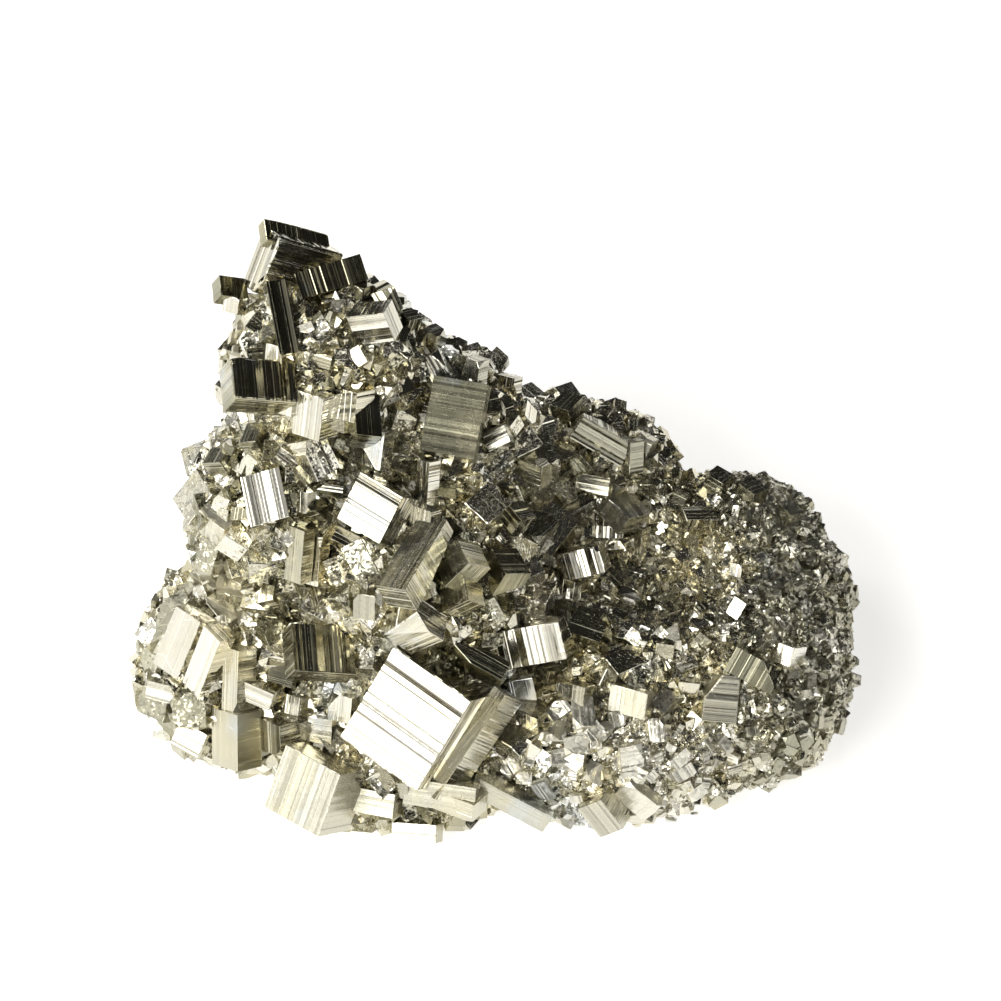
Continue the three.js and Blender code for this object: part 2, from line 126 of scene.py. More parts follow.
# Medium crystals: the same without spacing, step height and missing corners
mediumCrystals = [
    ["apexSide", -26, 34.9, 9, [97, 353, 226], [2.2, 2.9, 1.8], -1, 0.1, 0.2],
    ["apexSideWhite", -24.3, 34.5, 9, [262, 163, 12], [1.6, 1.8, 1.4], 0.6, 0.1, 0.1],
    ["rightKnob", -11.4, 34.6, 0.4, [143, 293, 28], [3, 2.4, 2.2], -0.6, 0.1, 0.2],
    ["flatKnob", -12.5, 35.4, 0.2, [160, 265, 20], [3.4, 1.2, 2], -0.6, 0.2, 0.2],
    ["frosted", -10.5, 33, 0.6, [186, 292, 60], [4, 3.2, 2.4], 0.6, 0.4, 0.7],
    ["darkTooth", -8, 32.4, 0.2, [140, 250, 15], [1.8, 1.6, 1.8], -0.7, 0.1, 0.1],
    ["darkTip", -5.6, 31, -1, [145, 255, 20], [1.8, 1.6, 1.8], -0.6, 0.1, 0.1],
    ["wedge", -20, 29.8, 0.4, [265, 165, 15], [2.2, 2, 1.8], 0.7, 0.1, 0.1],
    ["ledgeWhite", -19, 25.5, 0.4, [265, 163, 15], [2.4, 4.2, 1.8], 0.7, 0.1, 0.1],
    ["postNeighbour", -14.2, 24, 0.4, [268, 165, 15], [2.4, 1.6, 1.6], 0, 0.3, 0.2],
    ["paleFin", -13, 25.5, 1, [265, 163, 12], [3, 2.2, 2.6], 0.5, 0.1, 0.3],
    ["darkPillar", -13, 21.6, 1.4, [95, 355, 226], [4.4, 2.6, 3], -1, 0.05, 0.2],
    ["glareBlock", -10.4, 21.8, 0.8, [262, 163, 18], [3.8, 3.8, 2], 0.8, 0.1, 0.2],
    ["whiteBlade", -6.2, 19, 1, [266, 163, 12], [4.8, 1.6, 1.6], 0.6, 0.1, 0.4],
    ["plateTip", -5.5, 29.6, 0.4, [300, 208, 60], [2.8, 2, 1.6], 0.5, 0.1, 0.6],
    ["edgeFin", -1.5, 28.5, 0.2, [264, 160, 20], [3.2, 1.6, 1.6], 0, 0.4, 0.2],
    ["cornerStripes", 1.9, 27, 0.6, [262, 165, 15], [1.6, 2, 1.6], 0.4, 0.1, 0.8],
    ["greyTile", 1.5, 21, 0.6, [205, 112, 330], [2.4, 2, 1.6], 0, 0.4, 0.2],
    ["roundKnob", -26, 19, 0.4, [62, 182, 302], [2, 2.2, 2], -0.6, 0.2, 0.2],
    ["darkOval", -22.6, 21, 0.4, [70, 185, 300], [2.6, 1.8, 1.8], -0.7, 0.2, 0.2],
    ["whiteSlope", -20.4, 18.6, 1, [282, 196, 60], [4.8, 3.8, 2.4], 0.8, 0.1, 0.15],
    ["khakiChip", -17.7, 16.1, 0.6, [268, 165, 12], [2.1, 1.7, 1.6], 0, 0.4, 0.1],
    ["coalChip", -17, 14.5, 0.4, [78, 198, 318], [1.8, 1.8, 1.8], -0.9, 0.1, 0.2],
    ["zebraChip", -14.5, 15.5, 0.8, [172, 80, 300], [2.6, 1.6, 1.6], -0.4, 0.1, 1],
    ["slitBlock", -13, 10.5, 1, [153, 60, 255], [2.9, 1.6, 1.6], 0.1, 0.2, 0.3],
    ["brownPost", -18, 12.5, 0.6, [265, 160, 15], [5.4, 2.2, 1.6], -0.5, 0.2, 0.5],
    ["palePost", -16.5, 12, 0.6, [266, 165, 15], [5, 1.5, 1.6], 0.5, 0.2, 0.3],
    ["lens", -21, 6, 0.4, [88, 192, 318], [2.6, 1.8, 1.6], -0.7, 0.1, 0.2],
    ["midCube", -5.5, 11.5, 5, [172, 268, 30], [2.4, 1.8, 2.4], -0.4, 0.2, 0.7],
    ["midWhite", -6, 14.3, 0.8, [262, 160, 15], [2.4, 2.4, 1.6], 0.7, 0.1, 0.1],
    ["footChip", -30.5, -2.5, 0.4, [165, 258, 50], [2.8, 1.8, 1.6], 0, 0.4, 0.2],
    ["footWhite", -27.5, -7, 0.6, [152, 247, 12], [3.2, 2.6, 2.2], 0, 0.4, 0.2],
    ["brassBrick", -21, -3, 1.2, [157, 252, 43], [3.9, 1.9, 2.4], 0.3, 0.2, 0.3],
    ["coalHex", -19.4, -2.4, 2.4, [165, 72, 300], [2.6, 3, 1.6], -0.9, 0.1, 0.1],
    ["whiteFan", -18.4, -3.4, 1, [262, 165, 12], [2.8, 2, 1.6], 0.6, 0.2, 0.6],
    ["fanStep", -18, -6, 0.8, [160, 270, 30], [4, 1.7, 2], 0.3, 0.3, 0.2],
    ["brownStep", -15.5, -5.5, 0.4, [172, 268, 20], [2.6, 2.4, 1.6], 0, 0.3, 0.1],
    ["whiteStep", -13.6, -3.4, 1.2, [265, 165, 12], [2.6, 2.8, 1.6], 0.6, 0.2, 0.1],
    ["greenBlock", -20.5, -6, 0.4, [272, 160, 15], [3.2, 4.2, 3.4], -0.6, 0.3, 0.5],
    ["beigePlate", -24.5, -5, 0.6, [270, 165, 12], [5.6, 3.8, 3], -0.1, 0.6, 0.1],
    ["frontBrass", -9.5, -12.5, 0.2, [170, 264, 20], [4.4, 2.4, 2.4], -0.3, 0.5, 0.1],
    ["barFoot", -2, -13.5, 0.6, [160, 262, 40], [4.2, 2, 3], -0.1, 0.4, 0.1],
    ["mainFoot", -1.8, -11.9, 0.6, [172, 265, 50], [7, 2.6, 3], -0.1, 0.5, 0.1],
    ["darkSlab", 0.6, -1.6, 1.2, [151, 60, 250], [5.6, 2, 3.4], -0.7, 0.2, 0.2],
    ["creamBlock", 3.5, -1.5, 0.8, [283, 190, 60], [2.6, 2.5, 1.6], 0.4, 0.3, 0.1],
    ["brassChip", 5, -1, 0.4, [12, 130, 255], [2, 1.6, 1.6], 0.2, 0.3, 0.2],
    ["khakiRoof", 12.8, 13.6, 3, [130, 15, 235], [3.4, 3.4, 2.3], 0.5, 0.5, 0.4],
    ["roofWhite", 12.4, 14, 5.4, [262, 163, 12], [1.7, 3.4, 1.4], 1, 0.05, 0.1],
    ["khakiBox", 7.7, 12.6, 1.8, [262, 163, 12], [2, 2, 1.6], 0, 0.3, 0.3],
    ["roofWall", 14.2, 12.6, 2.4, [266, 163, 20], [3.8, 1.4, 1.4], 0.3, 0.2, 0.2],
    ["roofStripes", 12.4, 12.9, 2.2, [268, 178, 50], [1.2, 3.2, 1.6], 0, 0.1, 1],
    ["valleyDark", 2.5, 13.5, 0.2, [130, 235, 10], [2.4, 2.6, 2.4], -0.5, 0.1, 0.6],
    ["valleyLow", 1, 8.5, 0.2, [120, 240, 0], [3.4, 3, 3], -0.8, 0.3, 0.2],
    ["valleyLeft", -2.5, 9.5, 0.2, [115, 225, 345], [3.2, 3.6, 3], -0.7, 0.3, 0.2],
    ["valleyWall", -2.5, 6, 0.4, [100, 205, 340], [3, 3.2, 2.6], -0.7, 0.3, 0.2],
    ["rimPeak", 7, 24, 0.4, [45, 160, 280], [2.4, 2.2, 2.4], -0.5, 0.3, 0.2],
    ["rimTip", 15, 21, 0.2, [150, 250, 20], [2, 1.6, 1.6], -0.2, 0.3, 0.2],
    ["rimRusset", 13, 21, 0.4, [268, 162, 10], [3.2, 2, 1.8], -0.5, 0.3, 0.4],
    ["rimShelf", 11, 17.5, 0.4, [170, 265, 40], [3.4, 1.8, 2], -0.4, 0.3, 0.3],
    ["rimLeft", 4.5, 18.5, 0.2, [160, 262, 30], [2.8, 2.4, 2.2], -0.6, 0.3, 0.2],
    ["shelfStripes", 18.5, 13.5, 0.6, [1, 110, 250], [3.2, 1.8, 1.6], -0.2, 0.3, 0.9],
    ["shelfLow", 19.5, 12, 0.4, [268, 163, 12], [2.2, 1.6, 1.6], -0.3, 0.3, 0.3],
    ["crestNear", 22, 17, 0.2, [150, 262, 35], [2.2, 2, 2], -0.5, 0.4, 0.1],
    ["crestMiddle", 25, 16, 0.2, [140, 255, 20], [2.2, 2, 2], -0.6, 0.4, 0.2],
    ["crestFar", 28.5, 14, 0, [130, 245, 10], [2, 1.8, 1.8], -0.4, 0.5, 0.1],
    ["darkFace", 23, 1.5, 0.6, [241, 332, 95], [2.6, 5, 3], -0.9, 0.1, 0.2],
    ["pearl", 28.5, 1.3, 0.6, [256, 160, 5], [1.9, 1.8, 2.6], 0.8, 0.2, 0.1],
    ["sparkBar", 24, 5.5, 0.5, [240, 145, 10], [1.9, 1.4, 1.2], 0.8, 0.1, 0.3],
    ["sparkChip", 20.4, 8.4, 0.3, [265, 165, 12], [1.5, 1.2, 1.2], 0.8, 0.1, 0],
    ["sparkHigh", 23.7, 9.2, 0.3, [262, 165, 15], [1.3, 1.3, 1.2], 0.8, 0.1, 0],
    ["sparkLow", 8.3, 7.4, 0.5, [262, 165, 15], [1.7, 2.2, 1.4], 0.8, 0.1, 0],
    ["brassSlab", 8.5, -2.4, 0.6, [264, 163, 15], [1.8, 3.4, 1.6], 0.4, 0.3, 0.1],
    ["beigeSlab", 14.5, -3, 0.4, [262, 165, 18], [2.6, 4, 1.4], 0.1, 0.5, 0.1],
]
roundedEdges = {"apex": 0.6, "apexCap": 0.8, "barrel": 1.1, "roughHood": 0.5, "shell": 0.7}  # mm, worn round
mediumLook = {"spacing": 0.42, "step": 0.035}  # mm between the lines of a medium crystal, and their height

# where broken matrix shows in place of free crystals: across, up, the two reaches, share
brokenZones = [
    (13, -10, 14, 7.5, 1),  # lobe apron
    (28, -6, 8, 7, 0.5),  # lobe end, below
    (-30, 7, 5.5, 12, 0.9),  # left flank
    (-26, 30, 3.5, 5, 0.9),  # left of the head
    (-27, -8, 9, 5, 0.6),  # left foot
]
brokenFade = (0.75, 1.1)  # where a zone starts and ends to fade, as shares of its reach

streamFactor = 16807  # for a plain multiplying stream of shares, the same on every run
streamModulus = 2147483647


def randomStream(seed):
    state = seed
    while True:
        state = (state * streamFactor) % streamModulus
        yield state / streamModulus


def between(stream, low, high):
    return low + (high - low) * next(stream)


def pick(stream, items):
    return items[int(next(stream) * len(items))]


def drawnSize(stream, reach, power):  # the higher the power, the more of them are small
    low, high = reach
    return low + (high - low) * next(stream) ** power


def smoothStep(value, low, high):
    share = min(max((value - low) / (high - low), 0), 1)
    return share * share * (3 - 2 * share)


def onPlane(right, up):
    return across * right + upward * up


def divided(first, second):
    return Vector([a / b for a, b in zip(first, second)])


def crossings(lump, point):  # where a line out of the display plane meets an ellipsoid
    centre, radii = lump
    start = divided(point - Vector(centre), radii)
    step = divided(outward, radii)
    half = start.dot(step) / step.length_squared
    inside = half * half - (start.length_squared - 1) / step.length_squared
    if inside < 0:
        return None
    return -half + math.sqrt(inside), -half - math.sqrt(inside)


def massDepth(point):  # how far out the mass's surface is behind a place, or nothing past its outline
    hits = [hit for hit in (crossings(lump, point) for lump in lumps) if hit]
    if not hits:
        return None
    out = max(near for near, far in hits)
    dip = crossings(hollow, point)
    return dip[1] if dip and dip[1] < out < dip[0] else out


def onDisplay(point):  # the same place in the display plane itself
    return point - outward * point.dot(outward)


def depthPastOutline(point):  # the depth of the lump that lies closest in the display plane
    def gap(lump):
        offset = Vector(lump[0]) - point
        return (offset - outward * offset.dot(outward)).length

    return Vector(min(lumps, key=gap)[0]).dot(outward)


def edgeDirections(turns):  # three square edges, each foreshortened to be seen at its turn
    angles = [math.radians(turn) for turn in turns]
    pulls = [math.sin(2 * (angles[(i + 2) % 3] - angles[(i + 1) % 3])) for i in range(3)]
    edges = []
    for angle, pull in zip(angles, pulls):
        seen = min(max(2 * pull / sum(pulls), 0), 1)
        flat = onPlane(math.cos(angle), math.sin(angle)) * math.sqrt(seen)
        edges.append(flat - outward * math.sqrt(1 - seen))
    return edges


def turnFrom(edges):
    turn = Matrix.Identity(3)
    for index, edge in enumerate(edges):
        turn.col[index] = edge
    return turn


cutTolerance = 1e-6  # mm, for the cuts across one crystal
flatTolerance = 1e-5  # mm, for the flat cut below


def sliceOff(bm, place, normal, tolerance):  # takes away what lies past a plane and closes the cut
    everything = bm.verts[:] + bm.edges[:] + bm.faces[:]
    bmesh.ops.bisect_plane(
        bm, geom=everything, dist=tolerance, plane_co=place, plane_no=normal, clear_outer=True
    )
    rim = [edge for edge in bm.edges if edge.is_boundary]
    if rim:
        bmesh.ops.edgeloop_fill(bm, edges=rim)


def leaningSigns(stream):  # picks a corner, and a plane across it that leans its own way
    return [between(stream, *cornerLean) * (1 if next(stream) > 0.5 else -1) for _ in range(3)]


def cutCorner(bm, lengths, signs, depth):  # along a plane that leans by the signs' sizes
    normal = Vector([sign / length for sign, length in zip(signs, lengths)]).normalized()
    corner = Vector([math.copysign(length / 2, sign) for sign, length in zip(signs, lengths)])
    sliceOff(bm, corner - normal * depth, normal, cutTolerance)


def cutBlock(lengths, corners, depth, stream):  # a block with some of its corners cut off
    bm = bmesh.new()
    bmesh.ops.create_cube(bm, size=1)
    bmesh.ops.scale(bm, vec=lengths, verts=bm.verts)
    for _ in range(corners):
        cutCorner(bm, lengths, leaningSigns(stream), min(lengths) * between(stream, *depth))
    return bm


def asMesh(bm, name):
    mesh = bpy.data.meshes.new(name)
    bm.to_mesh(mesh)
    bm.free()
    return mesh


def intoScene(thing):
    bpy.context.scene.collection.objects.link(thing)


stripWidths = (0.35, 1.6)  # how unevenly wide the strips between the lines are
thinnestRiser = 0.01  # mm, half the width of the steepest step
riserShare = 0.3  # of the narrower strip beside it that half a step may take


def stripLayout(length, spacing, stepHeight, stream):  # line places, riser half widths, step depths
    count = max(2, round(length / spacing))
    widths = [between(stream, *stripWidths) for _ in range(count)]
    scale = length / sum(widths)
    places, position = [], -length / 2
    for width in widths[:-1]:
        position += width * scale
        places.append(position)
    depths = [[stepHeight * next(stream) ** 2 for _ in range(count)] for _ in range(2)]
    halves = []
    for index in range(count - 1):
        rise = max(abs(row[index + 1] - row[index]) for row in depths)
        widest = riserShare * scale * min(widths[index], widths[index + 1])
        halves.append(min(max(rise, thinnestRiser), widest))
    return places, halves, depths


squareFace = 0.99  # how nearly a face has to lie along an axis to be lined
faceTolerance = 1e-4  # mm, how near to a face a point counts as on it


def striate(bm, lengths, spacing, stepHeight, stream):
    # the lines run one way on each pair of faces, and square to that on the next pair
    onFace, layouts = {}, {}
    for axis in range(3):
        stack = (axis + 2) % 3
        layouts[axis] = stripLayout(lengths[stack], spacing, stepHeight, stream)
        direction = Vector((0, 0, 0))
        direction[stack] = 1
        for place, half in zip(layouts[axis][0], layouts[axis][1]):
            for side in (-half, half):
                faces = [face for face in bm.faces if abs(face.normal[axis]) > squareFace]
                geom = set(faces)
                for face in faces:
                    geom.update(face.edges)
                    geom.update(face.verts)
                line = direction * (place + side)
                bmesh.ops.bisect_plane(
                    bm, geom=list(geom), dist=cutTolerance, plane_co=line, plane_no=direction
                )
    for axis in range(3):
        reach = lengths[axis] / 2 - faceTolerance
        onFace[axis] = [vert for vert in bm.verts if abs(vert.co[axis]) > reach]
    moves = {}
    for axis, (places, halves, depths) in layouts.items():
        stack = (axis + 2) % 3
        for vert in onFace[axis]:
            side = 1 if vert.co[axis] > 0 else -1
            depth = depths[0 if side > 0 else 1][bisect.bisect(places, vert.co[stack])]
            moves.setdefault(vert, Vector((0, 0, 0)))[axis] -= side * depth
    for vert, move in moves.items():
        vert.co += move


mapShift = 50  # mm, each crystal starts its lines somewhere within this
mapStep = 7  # mm between the starts on its three pairs of faces


def addLinesMap(bm, stream):  # the map's first axis counts mm across the lines
    uvLayer = bm.loops.layers.uv.new("lines")
    shift = between(stream, 0, mapShift)
    for face in bm.faces:
        axis = max(range(3), key=lambda index: abs(face.normal[index]))
        run, stack = (axis + 1) % 3, (axis + 2) % 3
        for loop in face.loops:
            loop[uvLayer].uv = (loop.vert.co[stack] + shift + mapStep * axis, loop.vert.co[run] + shift)


def crystalMesh(lengths, spacing, stepHeight, edgeWidth, corners, stream, segments=1):
    bm = cutBlock(lengths, corners, cornerDepth, stream)
    bmesh.ops.bevel(
        bm, geom=bm.edges[:], offset=edgeWidth, segments=segments, profile=0.5, affect="EDGES",
        material=-1, clamp_overlap=True,
    )
    bm.normal_update()
    striate(bm, lengths, spacing, stepHeight, stream)
    bm.normal_update()
    addLinesMap(bm, stream)
    for label in finishLabels:
        bm.verts.layers.float.new(label)
    return asMesh(bm, "crystal")


def addCopy(piece, mesh, turn, middle, scale, tone, dull, lined):
    # puts a crystal in its place in the piece, with its tone (which carries painted light and shade),
    # dullness and lining as attributes
    fresh = mesh.copy()
    fresh.transform(Matrix.Translation(middle) @ turn.to_4x4() @ Matrix.Scale(scale, 4))
    for label, value in zip(finishLabels, (tone, dull, lined)):
        fresh.attributes[label].data.foreach_set("value", [value] * len(fresh.vertices))
    piece.from_mesh(fresh)
    bpy.data.meshes.remove(fresh)


def newPieceMesh():
    piece = bmesh.new()
    for label in finishLabels:
        piece.verts.layers.float.new(label)
    piece.loops.layers.uv.new("lines")
    return piece


def finishPiece(bm, name, material):  # flat on the cut, from mm to metres, riding on the frame
    sliceOff(bm, (0, 0, 0), (0, 0, -1), flatTolerance)
    bmesh.ops.scale(bm, vec=[millimetre] * 3, verts=bm.verts)
    piece = bpy.data.objects.new(name, asMesh(bm, name))
    intoScene(piece)
    piece.data.materials.clear()
    piece.data.materials.append(material)
    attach(piece, "root")
    triangles = sum(len(face.vertices) - 2 for face in piece.data.polygons)
    print("piece:", piece.name, triangles, "triangles")
    return piece


def liftsOver(corner, edges, lengths, square, share):
    # how far out the crystal stands when a point of a face touches the mass, for the face square to
    # one edge, at its near end (0) or its far end (1)
    lifts = []
    first, second = (square + 1) % 3, (square + 2) % 3
    for one in faceSamples:
        for other in faceSamples:
            offset = edges[first] * (one * lengths[first]) + edges[second] * (other * lengths[second])
            offset += edges[square] * (share * lengths[square])
            depth = massDepth(onDisplay(corner + offset))
            if depth is not None:
                lifts.append(depth - offset.dot(outward))
    return lifts


def liftClear(corner, edges, lengths):  # how far out it has to stand for its open faces to clear the mass
    lifts = []
    for square in range(3):
        if abs(edges[square].dot(outward)) >= openFace:
            lifts += liftsOver(corner, edges, lengths, square, 0)
    return max(lifts) + clearance if lifts else depthPastOutline(corner)


def liftRooted(corner, edges, lengths):  # how far out it may stand with its back still in the mass
    lifts = []
    for square in range(3):
        lifts += liftsOver(corner, edges, lengths, square, 1)
    return max(lifts) - rootDepth if lifts else math.inf


def measuredPlace(right, up, out, turns, lengths):
    edges = edgeDirections(turns)
    corner = onPlane(right, up)
    clear = liftClear(corner, edges, lengths) + out * proudShare
    lift = min(clear, liftRooted(corner, edges, lengths))
    middle = corner + outward * max(lift, (lowestCorner - corner.z) / outward.z)
    for edge, length in zip(edges, lengths):
        middle = middle + edge * (length / 2)
    top = middle.z + sum(abs(edge.z) * length / 2 for edge, length in zip(edges, lengths))
    middle = middle - outward * (max(top - highestTop, 0) / outward.z)
    turn = turnFrom(edges)
    if turn.determinant() < 0:  # a left-handed corner: turn the last edge round, the block stays the same
        turn.col[2] = -edges[2]
    return turn, middle


def makeLargeCrystals(material):
    settings = {"seed": 411, "edgeWidth": 0.05, "roundSegments": 4}
    stream = randomStream(settings["seed"])
    piece = newPieceMesh()
    for name, right, up, out, turns, lengths, spacing, step, tone, dull, lined, corners in largeCrystals:
        width = roundedEdges.get(name, settings["edgeWidth"])
        segments = settings["roundSegments"] if name in roundedEdges else 1
        mesh = crystalMesh(lengths, spacing, step, width, corners, stream, segments)
        turn, middle = measuredPlace(right, up, out, turns, lengths)
        addCopy(piece, mesh, turn, middle, 1, tone, dull, lined)
    return finishPiece(piece, "large_crystals", material)


def makeMediumCrystals(material):
    settings = {"seed": 977, "edgeWidth": 0.04, "mostCorners": 3}
    stream = randomStream(settings["seed"])
    piece = newPieceMesh()
    for name, right, up, out, turns, lengths, tone, dull, lined in mediumCrystals:
        corners = int(next(stream) * settings["mostCorners"])
        mesh = crystalMesh(
            lengths, mediumLook["spacing"], mediumLook["step"], settings["edgeWidth"], corners, stream
        )
        turn, middle = measuredPlace(right, up, out, turns, lengths)
        addCopy(piece, mesh, turn, middle, 1, tone, dull, lined)
    return finishPiece(piece, "medium_crystals", material)


def makeScreens():  # the outlines of the measured crystals in the display plane, with their depth
    screens = []
    for row in largeCrystals + mediumCrystals:
        middle = measuredPlace(*row[1:6])[1]
        edges = edgeDirections(row[4])
        spans = [onDisplay(edge) * length for edge, length in zip(edges, row[5])]
        screens.append((onPlane(row[1], row[2]), spans, middle.dot(outward)))
    return screens


thinOutline = 0.01  # a face seen with less area than this, squared, hides nothing


def isCovering(screens, point, margin):  # would something here stand in front of a measured crystal
    flat = onDisplay(point)
    for corner, spans, depth in screens:
        offset = flat - corner
        if point.dot(outward) < depth - 2 * margin:  # well behind the crystal
            continue
        for first, second in ((0, 1), (1, 2), (0, 2)):
            a, b = spans[first], spans[second]
            normal = a.cross(b)
            area = normal.length_squared
            if area < thinOutline:
                continue
            s = offset.cross(b).dot(normal) / area
            t = a.cross(offset).dot(normal) / area
            slackA, slackB = margin / a.length, margin / b.length
            if -slackA < s < 1 + slackA and -slackB < t < 1 + slackB:
                return True
    return False


def isInside(lump, point, margin):
    return divided(point - Vector(lump[0]), lump[1]).length < margin


def showsPastOutline(point, reach):
    for turn in range(0, 360, 60):
        angle = math.radians(turn)
        edge = point + onPlane(math.cos(angle), math.sin(angle)) * reach
        if not any(crossings(lump, edge) for lump in lumps):
            return True
    return False


def brokenShare(point):  # how much of the surface is broken matrix here, from 0 to 1
    share = 0
    for right, up, reachRight, reachUp, most in brokenZones:
        away = math.hypot((point.x - right) / reachRight, (point.dot(upward) - up) / reachUp)
        share = max(share, most * (1 - smoothStep(away, *brokenFade)))
    return share


def smallTemplates(settings, stream):  # unit crystals, lined and cut at the corners, to copy
    meshes = []
    for _ in range(settings["templates"]):
        sides = [between(stream, *settings["sides"]) for _ in range(2)]
        corners = int(between(stream, *settings["corners"]))
        look = [settings[label] for label in ("spacing", "step", "edgeWidth")]
        meshes.append(crystalMesh(sides + [settings["thickness"]], *look, corners, stream))
    return meshes


def startScatter(settings):  # the stream, the crystals to copy, an empty piece and the places taken
    stream = randomStream(settings["seed"])
    return stream, smallTemplates(settings, stream), newPieceMesh(), []


def randomTurn(stream):
    return Euler([math.tau * next(stream) for _ in range(3)]).to_matrix()


def randomFinish(settings, stream):  # tone, dullness and how strongly lined
    tone, dull = between(stream, *settings["tone"]), between(stream, *settings["dull"])
    return tone, dull, next(stream) ** settings["linedPower"]


lobeShrink = {"end": (12, 22), "left": 0.42}  # mm along the lobe, share of the size left at its far end
# how far in from each end the specimen is made darker and duller, and by how much
darkerEnds = {"end": (20, 28), "leftEnd": (25, 30), "tone": 0.4, "dull": 0.55}


def shrunkAtEnd(point, size):  # random crystals are small at the lobe's far end
    return size * (1 - (1 - lobeShrink["left"]) * smoothStep(point.x, *lobeShrink["end"]))


def darkenedAtEnds(point, finish):  # both ends of the specimen are made darker, duller and hardly lined, by place alone
    shift = smoothStep(point.x, *darkerEnds["end"]) + smoothStep(-point.x, *darkerEnds["leftEnd"])
    tone, dull, lined = finish
    return tone - darkerEnds["tone"] * shift, min(dull + darkerEnds["dull"] * shift, 1), lined * (1 - shift)


buriedMargin = 0.97  # a place within this share of another lump's radii is buried


def surfaceSpot(stream):  # somewhere on the mass, with the way it faces there
    lump = pick(stream, lumps)
    height = between(stream, -1, 1)
    around = math.tau * next(stream)
    ring = math.sqrt(1 - height * height)
    ray = Vector((ring * math.cos(around), ring * math.sin(around), height))
    point = Vector([c + n * r for c, n, r in zip(lump[0], ray, lump[1])])
    others = [other for other in lumps + [hollow] if other is not lump]
    buried = any(isInside(other, point, buriedMargin) for other in others)
    return point, divided(ray, lump[1]).normalized(), buried or point.z < lowestCorner


def isFree(settings, screens, taken, point, size):  # hides no measured crystal, and no other is too near
    if isCovering(screens, point, settings["clear"] * size):
        return False
    apart = settings["apart"]
    return not any((point - other).length < apart * (reach + size) for other, reach in taken)


def makeGrownCrystals(material, screens):
    # all round the hidden sides
    settings = {
        "seed": 20261, "tries": 5200, "size": (1.4, 6.0), "sizePower": 2.2, "seated": 0.44,
        "templates": 12, "sides": (0.6, 1.4), "thickness": 1, "corners": (0, 5), "spacing": 0.2,
        "step": 0.02, "edgeWidth": 0.02, "outlineReach": 0.8, "outlineShare": 0.4, "clear": 0.3,
        "apart": 0.28, "facing": 0.25, "rise": 0.3, "tone": (-0.6, 0.7), "dull": (0, 0.6),
        "linedPower": 2.5,
    }
    stream, templates, piece, taken = startScatter(settings)
    for _ in range(settings["tries"]):
        point, normal, buried = surfaceSpot(stream)
        size = drawnSize(stream, settings["size"], settings["sizePower"])
        turn = randomTurn(stream)
        template = pick(stream, templates)
        finish = randomFinish(settings, stream)
        if next(stream) < brokenShare(point) or buried or normal.dot(outward) > settings["facing"]:
            continue
        size = shrunkAtEnd(point, size)
        if showsPastOutline(point, settings["outlineReach"] * size):
            size *= settings["outlineShare"]
        if not settings["rise"] * size < point.z < highestTop - size:
            continue
        if not isFree(settings, screens, taken, point, size):
            continue
        taken.append((point, size))
        place = point + normal * ((0.5 - settings["seated"]) * size)  # from the middle of the crystal
        addCopy(piece, template, turn, place, size, *darkenedAtEnds(point, finish))
    return finishPiece(piece, "grown_crystals", material)


def makeInfillCrystals(material, screens):
    # between the measured crystals on the display side, finer on the lobe
    settings = {
        "seed": 5507, "tries": 8000, "templates": 14, "sides": (0.6, 1.4), "thickness": 1,
        "corners": (1, 6), "spacing": 0.24, "step": 0.02, "edgeWidth": 0.02, "across": (-34, 35),
        "up": (-16, 42), "towerEnd": 2, "towerSize": (1.4, 4.4), "lobeSize": (1.1, 3.5),
        "sizePower": 1.8, "outlineReach": 0.5, "clear": 0.32, "apart": 0.25, "rise": 0.5, "sunk": 0.14,
        "tone": (-0.9, 0.9), "dull": (0, 0.6), "linedPower": 3,
    }
    stream, templates, piece, taken = startScatter(settings)
    for _ in range(settings["tries"]):
        right, up = between(stream, *settings["across"]), between(stream, *settings["up"])
        reach = settings["towerSize"] if right < settings["towerEnd"] else settings["lobeSize"]
        size = drawnSize(stream, reach, settings["sizePower"])
        turn = randomTurn(stream)
        template = pick(stream, templates)
        finish = randomFinish(settings, stream)
        flat = onPlane(right, up)
        size = shrunkAtEnd(flat, size)
        if next(stream) < brokenShare(flat) or showsPastOutline(flat, settings["outlineReach"] * size):
            continue
        point = flat + outward * max(massDepth(flat), (lowestCorner - flat.z) / outward.z)
        if point.z + settings["rise"] * size > highestTop:
            continue
        if not isFree(settings, screens, taken, point, size):
            continue
        taken.append((point, size))
        place = point - outward * (settings["sunk"] * size)
        addCopy(piece, template, turn, place, size, *darkenedAtEnds(point, finish))
    return finishPiece(piece, "infill_crystals", material)


